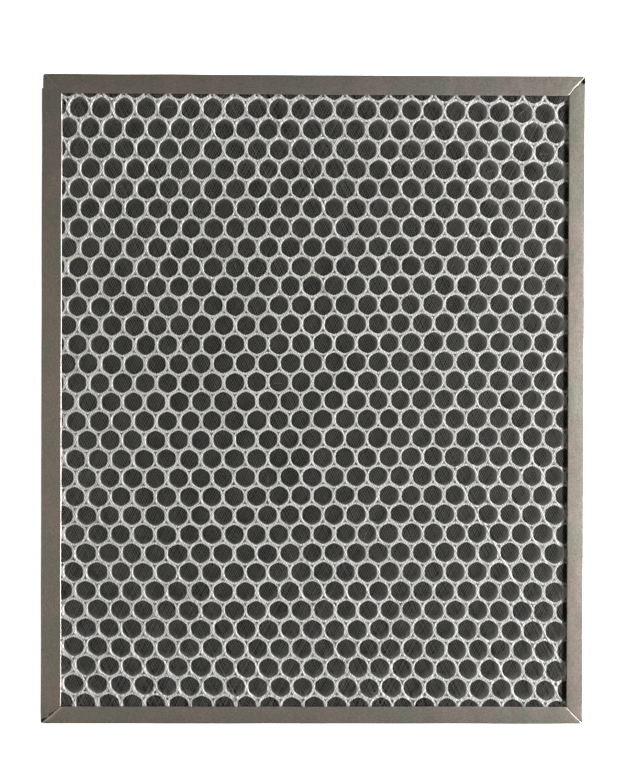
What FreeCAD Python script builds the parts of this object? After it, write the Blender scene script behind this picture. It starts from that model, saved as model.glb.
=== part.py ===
import FreeCAD, Part
import Sketcher
import math
import os

# A flat air purifier filter, lying face up. X runs across its width and Y
# along its length, +Y being the end that is drawn at the top. The origin is
# at the middle of the frame's back face, so the filter stands on Z = 0.
# It is a pack of four layers, held all round by one folded aluminium channel:
# back net, carbon felt, honeycomb core and front net, from the back up.

SIZES = [
    # name, millimetres
    ("frame_width", "222"),
    ("frame_length", "265"),
    ("frame_depth", "10"),
    ("sheet", "0.5"),
    ("corner_radius", "1.2"),
    ("flange_left", "8.2"),
    ("flange_right", "6.9"),
    ("flange_top", "8"),
    ("flange_bottom", "7.1"),
    ("mitre_gap", "0.3"),
    ("tip_gap", "1"),
    ("end_tab_length", "16"),
    ("end_tab_shown", "6"),
    ("fold_clearance", "0.1"),
    ("pack_clearance", "0.4"),
    ("net_thread", "0.15"),
    ("net_spacing", "25"),
    ("felt_thickness", "1.5"),
    ("cell_pitch", "13.6"),
    ("cell_wall", "1.9"),
]

ANGLES = [
    # name, degrees from +X
    ("first_threads", "60"),
    ("second_threads", "117"),
]

# Places that follow from the sizes. Left, right, bottom and top are X and Y,
# and floor is the Z of a layer's underside.
PLACES = [
    ("frame_left", "=-frame_width / 2"),
    ("frame_right", "=frame_width / 2"),
    ("frame_bottom", "=-frame_length / 2"),
    ("frame_top", "=frame_length / 2"),
    ("window_left", "=frame_left + flange_left"),
    ("window_right", "=frame_right - flange_right"),
    ("window_bottom", "=frame_bottom + flange_bottom"),
    ("window_top", "=frame_top - flange_top"),
    ("inside_left", "=frame_left + sheet"),
    ("inside_right", "=frame_right - sheet"),
    ("inside_bottom", "=frame_bottom + sheet"),
    ("inside_top", "=frame_top - sheet"),
    ("inner_radius", "=corner_radius - sheet"),
    ("front_flange_floor", "=frame_depth - sheet"),
    ("tab_left", "=inside_left + fold_clearance"),
    ("tab_right", "=tab_left + sheet"),
    ("tab_end", "=frame_top - end_tab_length"),
    ("left_rail_end", "=frame_top - end_tab_shown"),
    ("tuck_floor", "=sheet + fold_clearance"),
    ("tuck_depth", "=frame_depth - 2 * sheet - 2 * fold_clearance"),
    ("pack_left", "=tab_right + pack_clearance"),
    ("pack_right", "=inside_right - pack_clearance"),
    ("pack_bottom", "=inside_bottom + pack_clearance"),
    ("pack_top", "=inside_top - pack_clearance"),
    ("net_thickness", "=2 * net_thread"),
    ("back_net_floor", "=sheet"),
    ("felt_floor", "=back_net_floor + net_thickness"),
    ("core_floor", "=felt_floor + felt_thickness"),
    ("front_net_floor", "=front_flange_floor - net_thickness"),
]

doc = FreeCAD.newDocument("air_purifier_filter")


def add_table(name, rows):
    table = doc.addObject("Spreadsheet::Sheet", name)
    for row, (alias, content) in enumerate(rows, start=1):
        table.set(f"A{row}", content)
        table.setAlias(f"A{row}", alias)
    doc.recompute()
    return table


sizes = add_table("sizes", SIZES + PLACES)
angles = add_table("angles", ANGLES)


def size(name):
    return float(sizes.get(name))


def origin_plane(body, role):
    return next(item for item in body.Origin.OriginFeatures if item.Role == role)


def add_sketch(body, name, floor=None):
    """A sketch on the body's own XY plane, lifted to the Z of the cell named by floor."""
    sketch = body.newObject("Sketcher::SketchObject", name)
    sketch.AttachmentSupport = [(origin_plane(body, "XY_Plane"), "")]
    sketch.MapMode = "FlatFace"
    if floor:
        sketch.setExpression("AttachmentOffset.Base.z", f"sizes.{floor}")
    return sketch


def value_of(terms):
    """The number that a place such as "window_left + mitre_gap" stands for."""
    total = 0.0
    sign = 1
    for word in terms.split():
        if word in "+-":
            sign = 1 if word == "+" else -1
        else:
            total += sign * size(word)
    return total


def outline(sketch, corners):
    """Draw a closed outline, each corner tied to the sheet in X and in Y."""
    first = sketch.GeometryCount
    points = [FreeCAD.Vector(value_of(x), value_of(y), 0) for x, y in corners]
    count = len(points)
    for index, point in enumerate(points):
        sketch.addGeometry(Part.LineSegment(point, points[(index + 1) % count]), False)
    for index, place in enumerate(corners):
        line = first + index
        following = first + (index + 1) % count
        sketch.addConstraint(Sketcher.Constraint("Coincident", line, 2, following, 1))
        for kind, terms in zip(("DistanceX", "DistanceY"), place):
            number = sketch.addConstraint(
                Sketcher.Constraint(kind, -1, 1, line, 1, value_of(terms)))
            bound = " ".join(w if w in "+-" else f"sizes.{w}" for w in terms.split())
            sketch.setExpression(f"Constraints[{number}]", bound)


def rectangle(left, right, bottom, top):
    return [(left, bottom), (right, bottom), (right, top), (left, top)]


def add_pad(body, sketch, name, length):
    """Pad the sketch upwards by the size in the cell named by length."""
    pad = body.newObject("PartDesign::Pad", name)
    pad.Profile = sketch
    pad.setExpression("Length", f"sizes.{length}")
    return pad


def upright_edges(shape, corners):
    """Names of the shape's upright edges that stand at the given corners."""
    names = []
    for number, edge in enumerate(shape.Edges, start=1):
        start, end = edge.Vertexes[0].Point, edge.Vertexes[-1].Point
        if math.hypot(start.x - end.x, start.y - end.y) > 1e-6:
            continue
        for x, y in corners:
            if math.hypot(start.x - value_of(x), start.y - value_of(y)) < 1e-4:
                names.append(f"Edge{number}")
    return names


def round_corners(body, base, name, corners, radius):
    doc.recompute()
    fillet = body.newObject("PartDesign::Fillet", name)
    fillet.Base = (base, upright_edges(base.Shape, corners))
    fillet.setExpression("Radius", f"sizes.{radius}")
    doc.recompute()
    return fillet


def flange_outlines():
    """The four mitred flange strips, with a narrow gap on each mitre.

    Each strip reaches from the web's outer face to the window. Its outer ends
    stop short of the corner, where the notch leaves the bend free.
    """
    left = [("frame_left", "left_rail_end"), ("frame_left", "frame_bottom + tip_gap"),
            ("window_left", "window_bottom + mitre_gap"), ("window_left", "window_top - mitre_gap"),
            ("tab_left", "frame_top - tip_gap"), ("tab_left", "left_rail_end")]
    bottom = [("frame_left + tip_gap", "frame_bottom"), ("frame_right - tip_gap", "frame_bottom"),
              ("window_right - mitre_gap", "window_bottom"),
              ("window_left + mitre_gap", "window_bottom")]
    right = [("frame_right", "frame_bottom + tip_gap"), ("frame_right", "frame_top - tip_gap"),
             ("window_right", "window_top - mitre_gap"), ("window_right", "window_bottom + mitre_gap")]
    top = [("frame_right - tip_gap", "frame_top"), ("tab_left + tip_gap", "frame_top"),
           ("window_left + mitre_gap", "window_top"), ("window_right - mitre_gap", "window_top")]
    return left, bottom, right, top


def make_frame():
    """One strip folded into a channel and wrapped round the pack.

    The web runs from its end on the left rail down, round three corners and
    along the top. Its other end turns the last corner one sheet further in,
    and a tab there, cut low enough to pass between the flanges, tucks inside
    the left rail.
    """
    body = doc.addObject("PartDesign::Body", "frame")
    tab_sketch = add_sketch(body, "tab_outline", "tuck_floor")
    outline(tab_sketch, rectangle("tab_left", "tab_right", "tab_end", "left_rail_end"))
    add_pad(body, tab_sketch, "tucked_tab", "tuck_depth")
    web_sketch = add_sketch(body, "web_outline")
    outline(web_sketch, [
        ("frame_left", "left_rail_end"),
        ("frame_left", "frame_bottom"),
        ("frame_right", "frame_bottom"),
        ("frame_right", "frame_top"),
        ("tab_left", "frame_top"),
        ("tab_left", "left_rail_end"),
        ("tab_right", "left_rail_end"),
        ("tab_right", "inside_top"),
        ("inside_right", "inside_top"),
        ("inside_right", "inside_bottom"),
        ("inside_left", "inside_bottom"),
        ("inside_left", "left_rail_end"),
    ])
    web = add_pad(body, web_sketch, "web", "frame_depth")
    outer = [("frame_left", "frame_bottom"), ("frame_right", "frame_bottom"),
             ("frame_right", "frame_top"), ("tab_left", "frame_top")]
    inner = [("inside_left", "inside_bottom"), ("inside_right", "inside_bottom"),
             ("inside_right", "inside_top"), ("tab_right", "inside_top")]
    bends = round_corners(body, web, "outer_bends", outer, "corner_radius")
    round_corners(body, bends, "inner_bends", inner, "inner_radius")
    for name, floor in (("back_flange", None), ("front_flange", "front_flange_floor")):
        sketch = add_sketch(body, f"{name}_outline", floor)
        for strip in flange_outlines():
            outline(sketch, strip)
        body.Tip = add_pad(body, sketch, name, "sheet")
    return body


def make_net(name, floor):
    """A laid net: two sets of threads, the second lying across the first."""
    net = doc.addObject("Part::Feature", name)
    left, right = size("pack_left"), size("pack_right")
    bottom, top = size("pack_bottom"), size("pack_top")
    thread, spacing = size("net_thread"), size("net_spacing")
    reach = math.hypot(right - left, top - bottom)
    field = Part.makeBox(right - left, top - bottom, size("net_thickness"),
                         FreeCAD.Vector(left, bottom, 0))
    middle = FreeCAD.Vector((left + right) / 2, (bottom + top) / 2, 0)
    upright = FreeCAD.Vector(0, 0, 1)
    threads = []
    for level, direction in enumerate(("first_threads", "second_threads")):
        half_count = int(reach / 2 / spacing)
        for step in range(-half_count, half_count + 1):
            corner = FreeCAD.Vector(-reach / 2, step * spacing - thread / 2, level * thread)
            one = Part.makeBox(reach, thread, thread, corner)
            one.rotate(FreeCAD.Vector(0, 0, 0), upright, float(angles.get(direction)))
            one.translate(middle)
            threads.extend(one.common(field).Solids)
    net.Shape = Part.makeCompound(threads)
    net.Placement = FreeCAD.Placement(FreeCAD.Vector(0, 0, size(floor)), FreeCAD.Rotation())
    return net


def make_felt():
    """The dark carbon felt, one plain sheet under the whole core."""
    body = doc.addObject("PartDesign::Body", "carbon_felt")
    sketch = add_sketch(body, "felt_outline", "felt_floor")
    outline(sketch, rectangle("pack_left", "pack_right", "pack_bottom", "pack_top"))
    body.Tip = add_pad(body, sketch, "felt", "felt_thickness")
    return body


def cell_outline(x, y, bore):
    """A hexagonal cell with a corner up, bore being its width across the flats."""
    radius = bore / math.sqrt(3)
    corners = [FreeCAD.Vector(x + radius * math.sin(math.radians(60 * turn)),
                              y + radius * math.cos(math.radians(60 * turn)), 0)
               for turn in range(6)]
    return Part.makePolygon(corners + corners[:1])


def make_core():
    """The honeycomb: rows of hexagonal tubes, every other row set off by half a cell.

    The core is cut from a larger block, so the tubes along its edges are cut
    open. Its edges lie under the flanges.
    """
    core = doc.addObject("Part::Feature", "honeycomb_core")
    left, right = size("pack_left"), size("pack_right")
    bottom, top = size("pack_bottom"), size("pack_top")
    pitch, bore = size("cell_pitch"), size("cell_pitch") - size("cell_wall")
    row_pitch = pitch * math.sqrt(3) / 2
    rows = int((top - bottom) / 2 / row_pitch) + 1
    columns = int((right - left) / 2 / pitch) + 2
    middle_x, middle_y = (left + right) / 2, (bottom + top) / 2
    block = Part.Face(Part.makePolygon([
        FreeCAD.Vector(left, bottom, 0), FreeCAD.Vector(right, bottom, 0),
        FreeCAD.Vector(right, top, 0), FreeCAD.Vector(left, top, 0),
        FreeCAD.Vector(left, bottom, 0)]))
    whole_cells, cut_cells = [], []
    for row in range(-rows, rows + 1):
        for column in range(-columns, columns + 1):
            x = middle_x + (column + row % 2 / 2) * pitch
            y = middle_y + row * row_pitch
            cell = cell_outline(x, y, bore)
            box = cell.BoundBox
            if box.XMin > left and box.XMax < right and box.YMin > bottom and box.YMax < top:
                whole_cells.append(cell)
            elif box.XMax > left and box.XMin < right and box.YMax > bottom and box.YMin < top:
                cut_cells.append(Part.Face(cell))
    block = block.cut(cut_cells)
    walls = Part.Face([block.Faces[0].OuterWire] + whole_cells)
    height = size("front_net_floor") - size("core_floor")
    core.Shape = walls.extrude(FreeCAD.Vector(0, 0, height))
    core.Placement = FreeCAD.Placement(FreeCAD.Vector(0, 0, size("core_floor")), FreeCAD.Rotation())
    return core


pieces = [
    make_frame(),
    make_net("back_net", "back_net_floor"),
    make_felt(),
    make_core(),
    make_net("front_net", "front_net_floor"),
]
for piece in pieces:
    piece.Label = piece.Name
doc.recompute()

for item in doc.Objects:
    if "Invalid" in item.State or "Error" in item.State:
        raise RuntimeError(f"{item.Name} did not compute: {item.State}")
os.makedirs("parts", exist_ok=True)
for piece in pieces:
    if piece.Shape.isNull() or not piece.Shape.isValid():
        raise RuntimeError(f"{piece.Label} has no sound shape")
for piece in pieces:
    piece.Shape.exportStep(f"parts/{piece.Label}.step")
    print(piece.Label, len(piece.Shape.Solids), "solids", round(piece.Shape.Volume, 1), "mm3")
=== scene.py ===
import math
import random

import bmesh
import bpy
from mathutils import Matrix, Vector, noise


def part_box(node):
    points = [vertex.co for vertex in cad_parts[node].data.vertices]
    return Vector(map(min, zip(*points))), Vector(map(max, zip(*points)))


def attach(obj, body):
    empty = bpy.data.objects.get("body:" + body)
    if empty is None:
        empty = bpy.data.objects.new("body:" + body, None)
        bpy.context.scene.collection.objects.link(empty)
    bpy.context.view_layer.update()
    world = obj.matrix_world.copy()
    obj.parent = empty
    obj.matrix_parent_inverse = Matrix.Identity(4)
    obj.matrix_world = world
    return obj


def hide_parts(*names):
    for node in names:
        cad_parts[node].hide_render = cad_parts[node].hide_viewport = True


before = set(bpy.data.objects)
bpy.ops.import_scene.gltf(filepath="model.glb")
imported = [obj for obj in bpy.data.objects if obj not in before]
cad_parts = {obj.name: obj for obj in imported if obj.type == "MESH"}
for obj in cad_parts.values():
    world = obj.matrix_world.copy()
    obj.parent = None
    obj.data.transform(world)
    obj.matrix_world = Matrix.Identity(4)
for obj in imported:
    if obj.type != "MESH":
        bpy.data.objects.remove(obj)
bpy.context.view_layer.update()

# A flat air purifier filter lying face up on a pale table, seen from above.
# X runs across its width and Y along its length. Lengths below are millimetres.

MM = 0.001

# Folded aluminium strip
SHEET = 0.35
BEND_RADIUS = 0.4
CURL_RADIUS = 0.35
CURL_TURN = 50
CORNER_RADIUS = 1.2
BEND_STEPS, CURL_STEPS, CORNER_STEPS = 4, 3, 6
FLANGE = {"left": 8.2, "bottom": 7.1, "right": 6.9, "top": 8.0}
FLANGE_STEPS = 6
MITRE_GAP = 0.1
LAP_FROM_TOP = 6.0
LAP_STEP = 0.6
FACE_LEVEL = 9.88
# How far the middle of each flange stands above its bend and its free edge, and how far the whole flange
# has sprung: its bend lies that much lower than its free edge
CROWN = 0.03
SPRING = {"left": 0.0, "bottom": 0.0, "right": 0.08, "top": 0.0}
# The shear left the end of some flanges bent up or down beside the mitre, where it catches the light.
# Its rise, and its width at the corner, halfway and at the window; then how ragged that width is
LIPS = {("top", "left"): (0.06, (0.5, 0.25, 0.05)), ("top", "right"): (-0.18, (0.2, 0.9, 0.45)),
        ("bottom", "left"): (0.09, (1.0, 1.7, 1.2)), ("bottom", "right"): (-0.16, (0.4, 0.7, 0.5))}
RAGGED = 0.6
# Where the flange beyond such a lip was notched back from the mitre: how far at the corner, and the share
# of the mitre that the notch takes
NOTCHED = {("right", "top"): (2.6, 0.5), ("left", "bottom"): (1.2, 0.9), ("right", "bottom"): (0.6, 0.3)}

# Knocks along the rails: how far they push in, how long they are, and how far in from the outside they reach
KNOCK, KNOCK_LENGTH, RAIL_WIDE = 0.12, 23, 9
# Edges longer than this get so many points in between, for the knocks to push
LONG_EDGE, KNOCK_POINTS = 100, 31
# Rounding of the sheet's cut edges
EDGE_ROUND = 0.08

# Honeycomb of welded tubes: the cells' pitch and bores, the corner that each tube leaves open to the small
# three-sided hole beside it, and the field of cells that the core is cut from
PITCH = 9.07
ROW_PITCH = PITCH * math.sqrt(3) / 2
BORE = 7.8
BORE_ROUNDING = 0.68
BORE_SIDES = 24
RIM_ROUND = 0.12
NOTCH_REACH = 1.15
ROWS_UP, ROWS_DOWN, CELLS_EACH_WAY = 17, 17, 14
# Every point of a bore and its rim lies within this of its cell's middle, and the outside of the tube doesn't
BORE_ZONE = PITCH / 2 - 0.1
# How far a bore strays from its cell's middle, and how much wider or narrower it is
BORE_STRAY, BORE_STRETCH = 0.07, 0.012
# How far the cells drift from their rows, and over what distance. Without a seed, Blender's noise vectors
# start from the clock and the drift would differ at every run
DRIFT, DRIFT_LENGTH, DRIFT_SEED = 0.3, 16, 11
# Points of two tubes that lie closer than this are one
WELD = 0.01

# Felt: squares across and along, how deep its face dips on average, and how many dips it has to a metre
FELT_SQUARES = (110, 132)
FELT_DIP = 0.12
FELT_DIPS_PER_METRE = 300

# Net: two sets of flattened threads, the second lying on the first. A thread strays a little from its even
# place and slant, and isn't quite as wide as the next. The real net is finer, about 0.76 mm between threads,
# and is drawn as coarse as it needs to be to show.
THREAD_WIDE, THREAD_THICK = 0.09, 0.05
NET_FAMILIES = ((62.0, 0.88), (117.0, 0.88))
STRAY_ACROSS, STRAY_SLANT, STRAY_WIDTH = 0.07, 0.1, 0.2
NARROWEST = 0.5
SHORTEST_THREAD = 1.0

# Thin pale strands under the net: place across and along, slant and length
STRANDS = ((86.1, 118.6, 45, 4.6), (84.4, 117.2, 45, 2.2), (21.5, -55.6, 75, 3.4), (-18.3, -32.5, 90, 3.2),
          (-54.2, 92.5, 75, 2.0), (-79.1, 86.6, 15, 3.0), (-8.7, -64.1, 120, 2.0), (-31.9, 54.8, 90, 1.8),
          (-59.4, 119.2, 0, 3.4), (94.0, 100.7, 0, 3.2), (-14.2, 6.7, 0, 3.4), (72.3, 93.7, 15, 2.6))
STRAND_THICK, STRAND_BEND, STRAND_POINTS = 0.1, 0.08, 5

# Half the width of the table, in metres
TABLE_REACH = 6.0

# A long low window on the right, in metres and watts
WINDOW_PLACE = (1.3, -0.03, 0.36)
WINDOW_WIDE, WINDOW_HIGH, WINDOW_POWER = 1.2, 0.15, 93
# The room's own light, at its right and at its left, and a paler patch of ceiling: the way it lies from the
# filter, its strength, and how far round that way its core and its rim lie
ROOM_RIGHT, ROOM_LEFT = 0.022, 0.11
PATCH_WAY = (-0.36, -0.16, 0.92)
PATCH_STRENGTH, PATCH_CORE, PATCH_RIM = 0.46, 0.1, 0.55

# Camera: place in metres, turn in degrees, lens in millimetres, and a shift as a share of the picture
CAMERA_PLACE = (-0.0236, 0.00775, 0.37505)
CAMERA_TURN = (-0.214, -0.328, 0.178)
LENS = 42.0
FRAMING_SHIFT = 0.063

# The frame and the core as they lie in the part
frame_low, frame_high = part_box("frame")
LEFT, RIGHT = frame_low.x / MM, frame_high.x / MM
BOTTOM, TOP = frame_low.y / MM, frame_high.y / MM
core_low, core_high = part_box("honeycomb_core")


def linear(code):
    """An sRGB hex colour as linear red, green, blue and alpha."""
    parts = [int(code[start:start + 2], 16) / 255 for start in (1, 3, 5)]
    return [part / 12.92 if part <= 0.04045 else ((part + 0.055) / 1.055) ** 2.4 for part in parts] + [1.0]


def add_node(tree, kind, inputs=None, **settings):
    """Add a node; inputs gives each socket a value, or another node's socket to link from."""
    new = tree.nodes.new(kind)
    for name, value in settings.items():
        setattr(new, name, value)
    for name, value in (inputs or {}).items():
        if isinstance(value, bpy.types.NodeSocket):
            tree.links.new(value, new.inputs[name])
        else:
            new.inputs[name].default_value = value
    return new


def new_material(name):
    material = bpy.data.materials.new(name)
    material.use_nodes = True
    tree = material.node_tree
    return material, tree, tree.nodes["Principled BSDF"]


def colour_ramp(tree, factor, stops):
    ramp = add_node(tree, "ShaderNodeValToRGB", {"Fac": factor})
    elements = ramp.color_ramp.elements
    while len(elements) < len(stops):
        elements.new(0.5)
    for element, (place, colour) in zip(elements, stops):
        element.position = place
        element.color = linear(colour)
    return ramp.outputs["Color"]


# The noise patterns below take their Scale in features per metre: 1000 gives a pattern of about 1 mm


def mill_aluminium():
    """Mill-finish aluminium strip, cold rolled and handled: a dull sheen with a short grain along each
    rail, stained a little green and pink, and cloudy where the thin sheet isn't quite flat. The sheared
    lips at the mitres are fresh metal: paler, and matt from the cut."""
    material, tree, surface = new_material("mill_aluminium")
    place = add_node(tree, "ShaderNodeTexCoord").outputs["Object"]
    upright = add_node(tree, "ShaderNodeAttribute", attribute_name="upright").outputs["Fac"]
    sheared = add_node(tree, "ShaderNodeAttribute", attribute_name="sheared").outputs["Fac"]
    parts = add_node(tree, "ShaderNodeSeparateXYZ", {"Vector": place})
    swapped = add_node(tree, "ShaderNodeCombineXYZ", {"X": parts.outputs["Y"], "Y": parts.outputs["X"],
                                                      "Z": parts.outputs["Z"]})
    rolled = add_node(tree, "ShaderNodeMix", {0: upright, 4: place, 5: swapped.outputs["Vector"]},
                      data_type="VECTOR").outputs[1]
    # Rolling grain about 0.5 mm wide, which is coarser than the real one so that it shows
    drawn_out = add_node(tree, "ShaderNodeVectorMath", {0: rolled, 1: (0.7, 1.0, 1.0)}, operation="MULTIPLY")
    grain = add_node(tree, "ShaderNodeTexNoise", {"Vector": drawn_out.outputs["Vector"], "Scale": 1900.0,
                                                  "Detail": 3.0, "Roughness": 0.6})
    # Handling stains about 14 mm across
    stain = add_node(tree, "ShaderNodeTexNoise", {"Vector": place, "Scale": 70.0, "Detail": 4.0})
    tint = colour_ramp(tree, stain.outputs["Fac"], [(0.35, "#abaa9d"), (0.5, "#b4aaa0"), (0.65, "#bbada5")])
    lightness = add_node(tree, "ShaderNodeMapRange", {"Value": grain.outputs["Fac"], "From Min": 0.25,
                                                      "From Max": 0.75, "To Min": 0.72, "To Max": 1.28})
    dull = add_node(tree, "ShaderNodeVectorMath", {0: tint, "Scale": lightness.outputs["Result"]},
                    operation="SCALE").outputs["Vector"]
    fresh = add_node(tree, "ShaderNodeVectorMath", {0: linear("#b8b2a7")[:3],
                                                    "Scale": lightness.outputs["Result"]}, operation="SCALE")
    colour = add_node(tree, "ShaderNodeMix", {0: sheared, 4: dull, 5: fresh.outputs["Vector"]},
                      data_type="VECTOR").outputs[1]
    tree.links.new(colour, surface.inputs["Base Color"])
    surface.inputs["Metallic"].default_value = 1.0
    roughness = add_node(tree, "ShaderNodeMapRange", {"Value": sheared, "To Min": 0.44, "To Max": 0.62})
    tree.links.new(roughness.outputs["Result"], surface.inputs["Roughness"])
    # Waves in the thin sheet, about 12 mm long
    cloud = add_node(tree, "ShaderNodeTexNoise", {"Vector": place, "Scale": 85.0, "Detail": 3.0})
    wavy = add_node(tree, "ShaderNodeBump", {"Height": cloud.outputs["Fac"], "Strength": 1.0,
                                             "Distance": 0.3 * MM})
    tree.links.new(wavy.outputs["Normal"], surface.inputs["Normal"])
    return material


def polypropylene_grey_below_rim(rim, floor):
    """White extruded polypropylene tube, paler at the rim and darker grey further down the bore."""
    material, tree, surface = new_material("polypropylene_grey_below_rim")
    place = add_node(tree, "ShaderNodeTexCoord").outputs["Object"]
    height = add_node(tree, "ShaderNodeSeparateXYZ", {"Vector": place}).outputs["Z"]
    depth = add_node(tree, "ShaderNodeMapRange", {"Value": height, "From Min": floor, "From Max": rim})
    # Specks of dust about 1 mm across
    speck = add_node(tree, "ShaderNodeTexNoise", {"Vector": place, "Scale": 900.0, "Detail": 2.0})
    uneven = add_node(tree, "ShaderNodeMath", {0: speck.outputs["Fac"], 1: 0.05, 2: -0.025},
                      operation="MULTIPLY_ADD")
    mixed = add_node(tree, "ShaderNodeMath", {0: depth.outputs["Result"], 1: uneven.outputs["Value"]},
                     operation="ADD")
    # Paler at the rim, darker grey the further down the bore a point lies
    colour = colour_ramp(tree, mixed.outputs["Value"], [
        (0.0, "#75726c"), (0.5, "#98958f"), (0.93, "#c2bfba"), (0.99, "#f0efec")])
    tree.links.new(colour, surface.inputs["Base Color"])
    surface.inputs["Roughness"].default_value = 0.5
    surface.inputs["IOR"].default_value = 1.49
    return material


def carbon_felt():
    """Needled activated-carbon felt: matt, near black, browner where it has taken up damp."""
    material, tree, surface = new_material("carbon_felt")
    place = add_node(tree, "ShaderNodeTexCoord").outputs["Object"]
    # Clumps of fibre about 0.7 mm across, over paler and darker patches of about 11 mm
    fibre = add_node(tree, "ShaderNodeTexNoise", {"Vector": place, "Scale": 1400.0, "Detail": 4.0})
    patch = add_node(tree, "ShaderNodeTexNoise", {"Vector": place, "Scale": 90.0, "Detail": 2.0})
    both = add_node(tree, "ShaderNodeMath", {0: fibre.outputs["Fac"], 1: patch.outputs["Fac"]},
                    operation="ADD")
    grey = colour_ramp(tree, both.outputs["Value"], [(0.7, "#292824"), (1.0, "#363530"), (1.3, "#46443f")])
    # Damp marks about 30 mm apart
    damp = add_node(tree, "ShaderNodeTexNoise", {"Vector": place, "Scale": 35.0, "Detail": 2.0})
    brown = add_node(tree, "ShaderNodeMapRange", {"Value": damp.outputs["Fac"], "From Min": 0.6,
                                                  "From Max": 0.7, "To Min": 0.0, "To Max": 0.7})
    colour = add_node(tree, "ShaderNodeMix", {0: brown.outputs["Result"], 4: grey, 5: linear("#4a3b36")[:3]},
                      data_type="VECTOR").outputs[1]
    tree.links.new(colour, surface.inputs["Base Color"])
    surface.inputs["Roughness"].default_value = 0.95
    surface.inputs["Specular IOR Level"].default_value = 0.15
    bump = add_node(tree, "ShaderNodeBump", {"Height": fibre.outputs["Fac"], "Strength": 0.5,
                                             "Distance": 0.15 * MM})
    tree.links.new(bump.outputs["Normal"], surface.inputs["Normal"])
    return material


def grey_yarn():
    """Fine polypropylene yarn, pressed flat and greyed by carbon dust: matt."""
    material, tree, surface = new_material("grey_yarn")
    place = add_node(tree, "ShaderNodeTexCoord").outputs["Object"]
    # Dust in patches of about 8 mm
    dust = add_node(tree, "ShaderNodeTexNoise", {"Vector": place, "Scale": 120.0, "Detail": 3.0})
    colour = colour_ramp(tree, dust.outputs["Fac"], [(0.3, "#666663"), (0.7, "#7a7976")])
    tree.links.new(colour, surface.inputs["Base Color"])
    surface.inputs["Roughness"].default_value = 0.7
    surface.inputs["Specular IOR Level"].default_value = 0.3
    return material


def pale_strand_material():
    """Thin pale strands, translucent white, so paler than the yarn round them."""
    material, tree, surface = new_material("pale_strand_material")
    place = add_node(tree, "ShaderNodeTexCoord").outputs["Object"]
    # Paler and duller stretches of about 2 mm
    worn = add_node(tree, "ShaderNodeTexNoise", {"Vector": place, "Scale": 500.0, "Detail": 2.0})
    colour = colour_ramp(tree, worn.outputs["Fac"], [(0.35, "#8d8d89"), (0.65, "#c9c9c5")])
    tree.links.new(colour, surface.inputs["Base Color"])
    surface.inputs["Roughness"].default_value = 0.5
    return material


def pale_table():
    """Matt white table: shown as white, and darker where the filter shades it."""
    material, tree, surface = new_material("pale_table")
    surface.inputs["Base Color"].default_value = linear("#f2f2f0")
    surface.inputs["Roughness"].default_value = 0.9
    # The lift shows to the camera and in mirrors and glass, and casts no light on the filter
    seen = add_node(tree, "ShaderNodeLightPath")
    straight = add_node(tree, "ShaderNodeMath", {0: seen.outputs["Is Camera Ray"],
                                                 1: seen.outputs["Is Glossy Ray"]}, operation="MAXIMUM")
    through = add_node(tree, "ShaderNodeMath", {0: straight.outputs["Value"],
                                                1: seen.outputs["Is Transmission Ray"]}, operation="MAXIMUM")
    lift = add_node(tree, "ShaderNodeMath", {0: through.outputs["Value"], 1: 0.93}, operation="MULTIPLY")
    surface.inputs["Emission Color"].default_value = linear("#ffffff")
    tree.links.new(lift.outputs["Value"], surface.inputs["Emission Strength"])
    return material


def finish_piece(name, bm, material, smooth=False):
    """Make a piece of the filter from a mesh drawn in metres."""
    mesh = bpy.data.meshes.new(name)
    bm.to_mesh(mesh)
    bm.free()
    mesh.materials.append(material)
    for polygon in mesh.polygons:
        polygon.use_smooth = smooth
    piece = bpy.data.objects.new(name, mesh)
    bpy.context.collection.objects.link(piece)
    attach(piece, "root")
    return piece


def scaled(bm):
    """Turn a mesh drawn in millimetres into metres."""
    bmesh.ops.scale(bm, vec=(MM, MM, MM), verts=bm.verts)


def new_verts(result):
    return [item for item in result["geom"] if isinstance(item, bmesh.types.BMVert)]


def new_edges(result):
    return [item for item in result["geom"] if isinstance(item, bmesh.types.BMEdge)]


EDGE = {"left": LEFT, "right": RIGHT, "bottom": BOTTOM, "top": TOP}
AXIS = {"left": 0, "right": 0, "bottom": 1, "top": 1}
INWARD = {"left": 1, "right": -1, "bottom": 1, "top": -1}
NEIGHBOURS = {"left": ("bottom", "top"), "right": ("bottom", "top"),
              "bottom": ("left", "right"), "top": ("left", "right")}


def inset(place, side):
    """How far in from a side of the frame a point lies."""
    return (place[AXIS[side]] - EDGE[side]) * INWARD[side]


def set_inset(place, side, distance):
    place[AXIS[side]] = EDGE[side] + INWARD[side] * distance


def flange_rows(side):
    """The flange's section: inset and drop below its level, from the bend to the curled free edge."""
    bend = [math.radians(90) * step / BEND_STEPS for step in range(1, BEND_STEPS + 1)]
    rows = [(BEND_RADIUS * (1 - math.cos(turn)), BEND_RADIUS * (1 - math.sin(turn))) for turn in bend]
    curl = [math.radians(CURL_TURN) * step / CURL_STEPS for step in range(1, CURL_STEPS + 1)]
    flat_end = FLANGE[side] - CURL_RADIUS * math.sin(curl[-1])
    reach = flat_end - BEND_RADIUS
    rows += [(BEND_RADIUS + reach * step / FLANGE_STEPS, 0) for step in range(1, FLANGE_STEPS + 1)]
    rows += [(flat_end + CURL_RADIUS * math.sin(turn), CURL_RADIUS * (1 - math.cos(turn))) for turn in curl]
    return rows


def flange_drop(side, depth):
    """How far the crowned, sprung flange lies below its highest level, at a depth in from its side."""
    share = min(max((depth - BEND_RADIUS) / (FLANGE[side] - BEND_RADIUS), 0), 1)
    return CROWN * (2 * share - 1) ** 2 + SPRING[side] * (1 - share)


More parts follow.
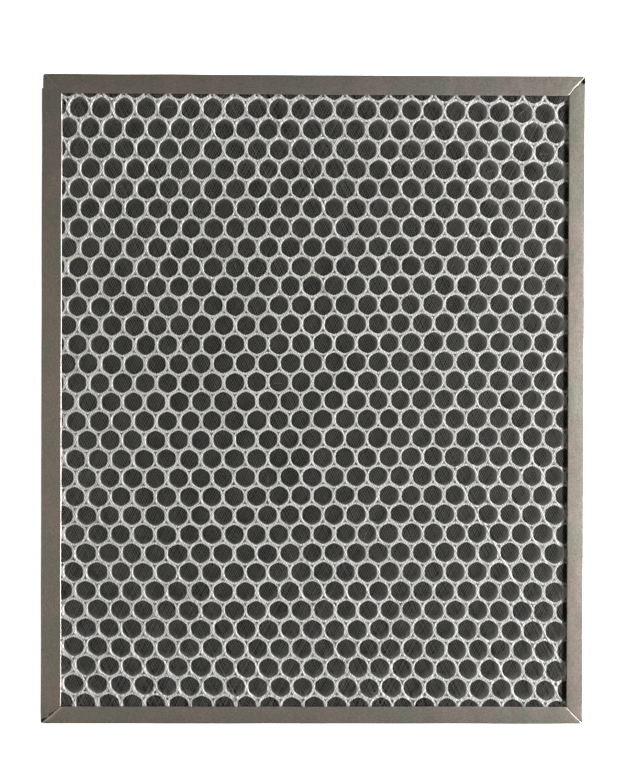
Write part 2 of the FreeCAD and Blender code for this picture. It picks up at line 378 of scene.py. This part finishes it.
def mitre_inset(side, neighbour, depth):
    """How far in from its neighbour a flange ends, at a depth in from its own side."""
    outer = {side: CORNER_RADIUS * (1 - math.sqrt(0.5)), neighbour: CORNER_RADIUS * (1 - math.sqrt(0.5))}
    if {side, neighbour} == {"left", "top"}:
        outer["left"] += LAP_STEP
    share = (depth - outer[side]) / (FLANGE[side] - outer[side])
    deepest, reach = NOTCHED.get((side, neighbour), (0, 1))
    notch = deepest * max(1 - share / reach, 0)
    return outer[neighbour] + (FLANGE[neighbour] - outer[neighbour]) * share + MITRE_GAP + notch


def lip_width(side, neighbour, depth):
    """How wide the bent lip at the end of a flange is, at a depth in from its side."""
    if (side, neighbour) not in LIPS or depth < BEND_RADIUS - 0.01:
        return 0.0
    at_corner, halfway, at_window = LIPS[(side, neighbour)][1]
    share = depth / FLANGE[side]
    ragged = 1 + RAGGED * noise.noise(Vector((depth, len(side), len(neighbour))))
    if share < 0.5:
        return (at_corner + (halfway - at_corner) * share * 2) * ragged
    return (halfway + (at_window - halfway) * (share * 2 - 1)) * ragged


def fold_flange(bm, edges, side, up):
    """Bend the web's edge inwards, run the flange flat to the window and curl its free edge."""
    for depth, drop in flange_rows(side):
        drawn = bmesh.ops.extrude_edge_only(bm, edges=edges)
        row = set(new_verts(drawn))
        edges = [edge for edge in new_edges(drawn) if row.issuperset(edge.verts)]
        for vert in row:
            depth_here = max(inset(vert.co, side), depth)
            set_inset(vert.co, side, depth_here)
            drop_here = drop + flange_drop(side, depth_here)
            vert.co.z = FACE_LEVEL - drop_here if up else drop_here
            for neighbour in NEIGHBOURS[side]:
                least = mitre_inset(side, neighbour, depth_here)
                if up:
                    least += lip_width(side, neighbour, depth_here)
                if inset(vert.co, neighbour) < least:
                    set_inset(vert.co, neighbour, least)


def raise_lip(bm, side, neighbour):
    """Draw the mitred end of a flange out into its bent lip."""
    def on_mitre(place):
        depth = inset(place, side)
        ends = mitre_inset(side, neighbour, depth) + lip_width(side, neighbour, depth)
        flat = abs(place.z + flange_drop(side, depth) - FACE_LEVEL) < 1e-3
        return flat and abs(inset(place, neighbour) - ends) < 1e-3

    edges = [edge for edge in bm.edges if edge.is_boundary and all(on_mitre(vert.co) for vert in edge.verts)]
    drawn = bmesh.ops.extrude_edge_only(bm, edges=edges)
    rise, widths = LIPS[(side, neighbour)]
    for vert in new_verts(drawn):
        width = lip_width(side, neighbour, inset(vert.co, side))
        set_inset(vert.co, neighbour, inset(vert.co, neighbour) - width)
        vert.co.z += rise * width / max(widths)
    cut_edge = bm.faces.layers.float["sheared"]
    for face in drawn["geom"]:
        if isinstance(face, bmesh.types.BMFace):
            face[cut_edge] = 1.0


def nearest_side(edge):
    """The side of the frame that an edge of the web's outline belongs to."""
    middle = (edge.verts[0].co + edge.verts[1].co) / 2
    insets = {side: inset(middle, side) for side in EDGE}
    if middle.y > TOP - LAP_FROM_TOP - 0.01:
        insets["left"] -= LAP_STEP
    return min(insets, key=insets.get)


def knock_in(place):
    """Push a point of the rails inwards a little, so that no edge is dead straight."""
    push = KNOCK * (1 + noise.noise(Vector((place.x, place.y, 0)) / KNOCK_LENGTH))
    if abs(place.x) > RIGHT - RAIL_WIDE:
        place.x -= math.copysign(push, place.x)
    if abs(place.y) > TOP - RAIL_WIDE:
        place.y -= math.copysign(push, place.y)


def make_frame(material):
    """The channel, folded from one strip: web, bends, mitred flanges and the lap at the top left."""
    bm = bmesh.new()
    plan = [(LEFT, TOP - LAP_FROM_TOP), (LEFT, BOTTOM), (RIGHT, BOTTOM), (RIGHT, TOP),
            (LEFT + LAP_STEP, TOP), (LEFT + LAP_STEP, TOP - LAP_FROM_TOP)]
    verts = [bm.verts.new((x, y, BEND_RADIUS)) for x, y in plan]
    bm.faces.new(verts)
    bmesh.ops.bevel(bm, geom=verts[1:5], affect="VERTICES", offset=CORNER_RADIUS, offset_type="OFFSET",
                    segments=CORNER_STEPS, profile=0.5, material=-1)
    bmesh.ops.delete(bm, geom=bm.faces[:], context="FACES_ONLY")
    low_edges = bm.edges[:]
    web = bmesh.ops.extrude_edge_only(bm, edges=low_edges)
    raised = set(new_verts(web))
    bmesh.ops.translate(bm, vec=(0, 0, FACE_LEVEL - CROWN - 2 * BEND_RADIUS), verts=list(raised))
    high_edges = [edge for edge in new_edges(web) if raised.issuperset(edge.verts)]
    for up, edges in ((True, high_edges), (False, low_edges)):
        for side in EDGE:
            fold_flange(bm, [edge for edge in edges if nearest_side(edge) == side], side, up)
    bmesh.ops.remove_doubles(bm, verts=bm.verts, dist=1e-4)
    bm.faces.layers.float.new("sheared")
    for side, neighbour in LIPS:
        raise_lip(bm, side, neighbour)
    long_edges = [edge for edge in bm.edges if edge.calc_length() > LONG_EDGE]
    bmesh.ops.subdivide_edges(bm, edges=long_edges, cuts=KNOCK_POINTS, use_grid_fill=True)
    for vert in bm.verts:
        knock_in(vert.co)
    bmesh.ops.recalc_face_normals(bm, faces=bm.faces)
    outermost = max(bm.faces, key=lambda face: face.calc_center_median().x)
    if outermost.normal.x < 0:
        bmesh.ops.reverse_faces(bm, faces=bm.faces)
    rail = bm.faces.layers.float.new("upright")
    for face in bm.faces:
        middle = face.calc_center_median()
        face[rail] = 1.0 if RIGHT - abs(middle.x) < TOP - abs(middle.y) else 0.0
    scaled(bm)
    piece = finish_piece("frame_strip", bm, material, smooth=True)
    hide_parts("frame")
    thick = piece.modifiers.new("sheet", "SOLIDIFY")
    thick.thickness = SHEET * MM
    thick.offset = -1
    edge = piece.modifiers.new("sheared_edge", "BEVEL")
    edge.width = EDGE_ROUND * MM
    edge.segments = 2
    edge.limit_method = "ANGLE"
    edge.angle_limit = math.radians(50)
    piece.modifiers.new("flat_faces", "WEIGHTED_NORMAL")


def settle(x, y):
    """Where a point of the perfectly even lattice lies in the real core.

    The rows climb to the right in the middle of the block and level off towards its ends,
    and the ends spread a little. Lengths in millimetres.
    """
    u, v = x / 100, y / 130
    across = (-0.5 + 99.5 * u - 0.9 * u ** 2 + 0.8 * u ** 3 - 0.8 * u * v + 0.45 * v ** 2 + 0.5 * u * v ** 2
              + 1.1 * u ** 2 * v - 1.1 * v ** 3)
    along = (-0.4 + 129.0 * v + 1.0 * v ** 2 + 1.6 * v ** 3 + 1.55 * u - 0.9 * u ** 3 - 2.3 * u * v ** 2
             - 0.15 * u ** 2 - 0.3 * u ** 2 * v + 0.2 * u * v)
    return across, along


def hexagon_reach(angle, flat, rounding):
    """Distance from a cell's middle to its rounded six-sided edge, with a corner pointing along +Y."""
    turned = (angle + math.pi / 6) % (math.pi / 3) - math.pi / 6
    return flat + flat * (1 / math.cos(turned) - 1) * (1 - rounding)


def make_tube():
    """One cell of the honeycomb: a rounded six-sided bore in a tile that meets its six neighbours.

    The tile's corners are rounded off, so that three tiles leave the small three-sided hole
    between tubes.
    """
    bm = bmesh.new()
    tile = bmesh.ops.create_circle(bm, cap_ends=True, segments=6, radius=PITCH / math.sqrt(3))["verts"]
    bmesh.ops.bevel(bm, geom=tile, affect="VERTICES", offset=NOTCH_REACH, offset_type="OFFSET",
                    segments=2, profile=0.5, material=-1)
    bmesh.ops.delete(bm, geom=bm.faces[:], context="FACES_ONLY")
    for vert in bmesh.ops.create_circle(bm, segments=BORE_SIDES, radius=1.0)["verts"]:
        angle = math.atan2(vert.co.y, vert.co.x)
        reach = hexagon_reach(angle, BORE / 2, BORE_ROUNDING)
        vert.co = Vector((math.cos(angle), math.sin(angle), 0)) * reach
    bmesh.ops.bridge_loops(bm, edges=bm.edges[:])
    bmesh.ops.recalc_face_normals(bm, faces=bm.faces)
    if bm.faces[:][0].normal.z < 0:
        bmesh.ops.reverse_faces(bm, faces=bm.faces)
    under = bmesh.ops.extrude_face_region(bm, geom=bm.faces[:], use_keep_orig=True)
    bmesh.ops.translate(bm, vec=(0, 0, (core_low.z - core_high.z) / MM), verts=new_verts(under))
    bmesh.ops.reverse_faces(bm, faces=[item for item in under["geom"] if isinstance(item, bmesh.types.BMFace)
                                       and abs(item.normal.z) > 0.5])
    upright = [face for face in bm.faces if abs(face.normal.z) < 0.5]
    joints = [face for face in upright if abs(face.calc_center_median().xy.length - PITCH / 2) < 0.02]
    bmesh.ops.delete(bm, geom=joints, context="FACES")
    rim = [edge for edge in bm.edges if all(vert.co.z > -0.1 and vert.co.xy.length < BORE_ZONE
                                            for vert in edge.verts) and len(edge.link_faces) == 2
           and any(abs(face.normal.z) < 0.5 for face in edge.link_faces)]
    bmesh.ops.bevel(bm, geom=rim, affect="EDGES", offset=RIM_ROUND, offset_type="OFFSET", segments=1,
                    profile=0.5, material=-1)
    return bm


def cell_middle(column, row):
    return Vector(((column + row % 2 / 2) * PITCH, row * ROW_PITCH, 0))


def nearest_cell(place):
    """Column and row of the cell that a point of the even lattice belongs to."""
    near = round(place.y / ROW_PITCH)
    cells = [(round(place.x / PITCH - row % 2 / 2), row) for row in (near - 1, near, near + 1)]
    return min(cells, key=lambda cell: (cell_middle(*cell).xy - place.xy).length)


def vary_bores(bm):
    """Make each tube's bore a little wider, narrower or off its middle, as drawn tubes are."""
    rng = random.Random(11)
    changes = {}
    for vert in bm.verts:
        cell = nearest_cell(vert.co)
        middle = cell_middle(*cell)
        offset = vert.co - middle
        if offset.xy.length > BORE_ZONE:
            continue
        if cell not in changes:
            changes[cell] = (rng.gauss(0, BORE_STRAY), rng.gauss(0, BORE_STRAY),
                             rng.gauss(1, BORE_STRETCH), rng.gauss(1, BORE_STRETCH))
        shift_x, shift_y, wide, tall = changes[cell]
        vert.co.x = middle.x + offset.x * wide + shift_x
        vert.co.y = middle.y + offset.y * tall + shift_y


def make_core(material):
    """The honeycomb: tubes welded side by side, cut off square at the edges of the core."""
    low, high = core_low / MM, core_high / MM
    tube_bm = make_tube()
    tube = bpy.data.meshes.new("tube")
    tube_bm.to_mesh(tube)
    tube_bm.free()
    row_bm = bmesh.new()
    for column in range(-CELLS_EACH_WAY, CELLS_EACH_WAY + 1):
        before = len(row_bm.verts)
        row_bm.from_mesh(tube)
        bmesh.ops.translate(row_bm, vec=(column * PITCH, 0, high.z), verts=row_bm.verts[:][before:])
    bmesh.ops.remove_doubles(row_bm, verts=row_bm.verts, dist=WELD)
    row_mesh = bpy.data.meshes.new("row")
    row_bm.to_mesh(row_mesh)
    row_bm.free()
    bm = bmesh.new()
    for row in range(-ROWS_DOWN, ROWS_UP + 1):
        before = len(bm.verts)
        bm.from_mesh(row_mesh)
        bmesh.ops.translate(bm, vec=cell_middle(0, row), verts=bm.verts[:][before:])
    bpy.data.meshes.remove(tube)
    bpy.data.meshes.remove(row_mesh)
    bmesh.ops.remove_doubles(bm, verts=bm.verts, dist=WELD)
    vary_bores(bm)
    noise.seed_set(DRIFT_SEED)
    for vert in bm.verts:
        across, along = settle(vert.co.x, vert.co.y)
        drift = noise.noise_vector(Vector((across, along, 0)) / DRIFT_LENGTH) * DRIFT
        vert.co.x, vert.co.y = across + drift.x, along + drift.y
    for place, outward in ((Vector((low.x, 0, 0)), (-1, 0, 0)), (Vector((high.x, 0, 0)), (1, 0, 0)),
                           (Vector((0, low.y, 0)), (0, -1, 0)), (Vector((0, high.y, 0)), (0, 1, 0))):
        cut = bmesh.ops.bisect_plane(bm, geom=bm.verts[:] + bm.edges[:] + bm.faces[:], plane_co=place,
                                     plane_no=outward, clear_outer=True)
        edges = [item for item in cut["geom_cut"] if isinstance(item, bmesh.types.BMEdge)]
        bmesh.ops.holes_fill(bm, edges=edges, sides=0)
    scaled(bm)
    piece = finish_piece("tube_core", bm, material)
    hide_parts("honeycomb_core")


def make_felt(material):
    """The felt, lying flat, with a top face that isn't quite even."""
    low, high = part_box("carbon_felt")
    size_x, size_y = high.x - low.x, high.y - low.y
    bm = bmesh.new()
    bmesh.ops.create_grid(bm, x_segments=FELT_SQUARES[0], y_segments=FELT_SQUARES[1], size=0.5)
    bmesh.ops.scale(bm, vec=(size_x, size_y, 1), verts=bm.verts)
    bmesh.ops.translate(bm, vec=((low.x + high.x) / 2, (low.y + high.y) / 2, high.z), verts=bm.verts)
    under = bmesh.ops.extrude_face_region(bm, geom=bm.faces[:], use_keep_orig=True)
    under_verts = set(new_verts(under))
    for vert in bm.verts:
        if vert in under_verts:
            vert.co.z = low.z
        else:
            vert.co.z -= FELT_DIP * MM * (1 + noise.noise(vert.co * FELT_DIPS_PER_METRE))
    bmesh.ops.recalc_face_normals(bm, faces=bm.faces)
    piece = finish_piece("felt_sheet", bm, material, smooth=True)
    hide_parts("carbon_felt")


def clipped(middle, run, low, high):
    """The stretch of a line that lies inside a rectangle, as two distances along it, or None."""
    start, end = -1e9, 1e9
    for axis in (0, 1):
        if abs(run[axis]) < 1e-9:
            continue
        near, far = sorted(((low[axis] - middle[axis]) / run[axis], (high[axis] - middle[axis]) / run[axis]))
        start, end = max(start, near), min(end, far)
    return (start, end) if end - start > SHORTEST_THREAD else None


def make_net(name, node, material):
    """One net: threads cut off at the edges of its node, in two sets that cross."""
    low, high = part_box(node)
    low, high = low / MM, high / MM
    centre = (low + high) / 2
    rng = random.Random(name)
    bm = bmesh.new()
    for level, (angle, spacing) in enumerate(NET_FAMILIES):
        even_run = Matrix.Rotation(math.radians(angle), 3, "Z") @ Vector((1, 0, 0))
        count = int((high - low).xy.length / 2 / spacing)
        height = low.z + THREAD_THICK * (0.5 + level)
        for step in range(-count, count + 1):
            turn = Matrix.Rotation(math.radians(angle + rng.gauss(0, STRAY_SLANT)), 4, "Z")
            run = (turn @ Vector((1, 0, 0, 0))).xyz
            aside = step * spacing + rng.gauss(0, STRAY_ACROSS)
            middle = centre + Vector((-even_run.y, even_run.x, 0)) * aside
            stretch = clipped(middle, run, low, high)
            if not stretch:
                continue
            start, end = stretch
            spot = middle + run * (start + end) / 2
            spot.z = height
            width = THREAD_WIDE * max(rng.gauss(1, STRAY_WIDTH), NARROWEST)
            shape = Matrix.Diagonal((end - start, width, THREAD_THICK, 1))
            bmesh.ops.create_cube(bm, size=1.0, matrix=Matrix.Translation(spot) @ turn @ shape)
    scaled(bm)
    piece = finish_piece(name, bm, material)
    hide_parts(node)


def make_strands(material):
    """Short pale strands lying between the tube rims, just under the net, each bent a little."""
    bm = bmesh.new()
    for x, y, slant, length in STRANDS:
        before = len(bm.verts)
        bmesh.ops.create_cube(bm, size=1.0, matrix=Matrix.Diagonal((length, STRAND_THICK, STRAND_THICK, 1)))
        straight = set(bm.verts[:][before:])
        lengthwise = [edge for edge in bm.edges if straight.issuperset(edge.verts)
                      and edge.calc_length() > length / 2]
        bmesh.ops.subdivide_edges(bm, edges=lengthwise, cuts=STRAND_POINTS, use_grid_fill=True)
        hair = bm.verts[:][before:]
        for vert in hair:
            vert.co.y += STRAND_BEND * (1 - (2 * vert.co.x / length) ** 2)
        turn = Matrix.Rotation(math.radians(slant), 4, "Z")
        place = Matrix.Translation((x, y, core_high.z / MM - STRAND_THICK))
        bmesh.ops.transform(bm, matrix=place @ turn, verts=hair)
    scaled(bm)
    finish_piece("strands_under_net", bm, material)


def make_table(material):
    """A wide flat top that the filter lies on, part of the picture and not of the filter."""
    bm = bmesh.new()
    bmesh.ops.create_grid(bm, x_segments=1, y_segments=1, size=TABLE_REACH)
    mesh = bpy.data.meshes.new("table")
    bm.to_mesh(mesh)
    bm.free()
    mesh.materials.append(material)
    table = bpy.data.objects.new("table", mesh)
    bpy.context.collection.objects.link(table)


def add_window():
    """The lamp that stands for the window, turned to face the filter."""
    light = bpy.data.lights.new("window", "AREA")
    light.shape = "RECTANGLE"
    light.size = WINDOW_WIDE
    light.size_y = WINDOW_HIGH
    light.energy = WINDOW_POWER
    lamp = bpy.data.objects.new("window", light)
    lamp.location = WINDOW_PLACE
    lamp.rotation_euler = (-Vector(WINDOW_PLACE)).to_track_quat("-Z", "Y").to_euler()
    bpy.context.collection.objects.link(lamp)


def light_room():
    """A dim room with a long low window on the right, which lights a patch of the ceiling on the left."""
    world = bpy.data.worlds.new("room")
    bpy.context.scene.world = world
    world.use_nodes = True
    tree = world.node_tree
    backdrop = tree.nodes["Background"]
    way = add_node(tree, "ShaderNodeTexCoord").outputs["Generated"]
    parts = add_node(tree, "ShaderNodeSeparateXYZ", {"Vector": way})
    leftward = add_node(tree, "ShaderNodeMapRange", {"Value": parts.outputs["X"], "From Min": -0.1,
                                                     "From Max": -0.8, "To Min": ROOM_RIGHT,
                                                     "To Max": ROOM_LEFT})
    off_patch = add_node(tree, "ShaderNodeVectorMath", {0: way, 1: PATCH_WAY}, operation="DISTANCE")
    patch = add_node(tree, "ShaderNodeMapRange", {"Value": off_patch.outputs["Value"],
                                                  "From Min": PATCH_RIM, "From Max": PATCH_CORE,
                                                  "To Min": 0.0, "To Max": PATCH_STRENGTH})
    both = add_node(tree, "ShaderNodeMath", {0: leftward.outputs["Result"], 1: patch.outputs["Result"]},
                    operation="ADD")
    tree.links.new(both.outputs["Value"], backdrop.inputs["Strength"])
    backdrop.inputs["Color"].default_value = linear("#fffbee")
    # Past the end of the table the camera sees plain white, while the filter is lit by the dim room alone
    seen = add_node(tree, "ShaderNodeLightPath").outputs["Is Camera Ray"]
    white = add_node(tree, "ShaderNodeBackground", {"Color": linear("#ffffff"), "Strength": 1.0})
    shown = add_node(tree, "ShaderNodeMixShader", {0: seen, 1: backdrop.outputs["Background"],
                                                   2: white.outputs["Background"]})
    tree.links.new(shown.outputs["Shader"], tree.nodes["World Output"].inputs["Surface"])
    add_window()


def place_camera():
    """Straight above the filter, 0.37 m from its face and a little left of its middle."""
    data = bpy.data.cameras.new("camera")
    data.lens = LENS
    data.sensor_width = 36.0
    data.shift_x = FRAMING_SHIFT
    data.clip_start = 0.01
    camera = bpy.data.objects.new("camera", data)
    camera.location = CAMERA_PLACE
    camera.rotation_euler = [math.radians(angle) for angle in CAMERA_TURN]
    bpy.context.collection.objects.link(camera)
    bpy.context.scene.camera = camera


bpy.context.scene.view_settings.view_transform = "Standard"
aluminium = mill_aluminium()
white_tube = polypropylene_grey_below_rim(core_high.z, core_low.z)
yarn = grey_yarn()
make_frame(aluminium)
make_core(white_tube)
make_felt(carbon_felt())
make_net("net_front", "front_net", yarn)
make_net("net_back", "back_net", yarn)
make_strands(pale_strand_material())
make_table(pale_table())
light_room()
place_camera()
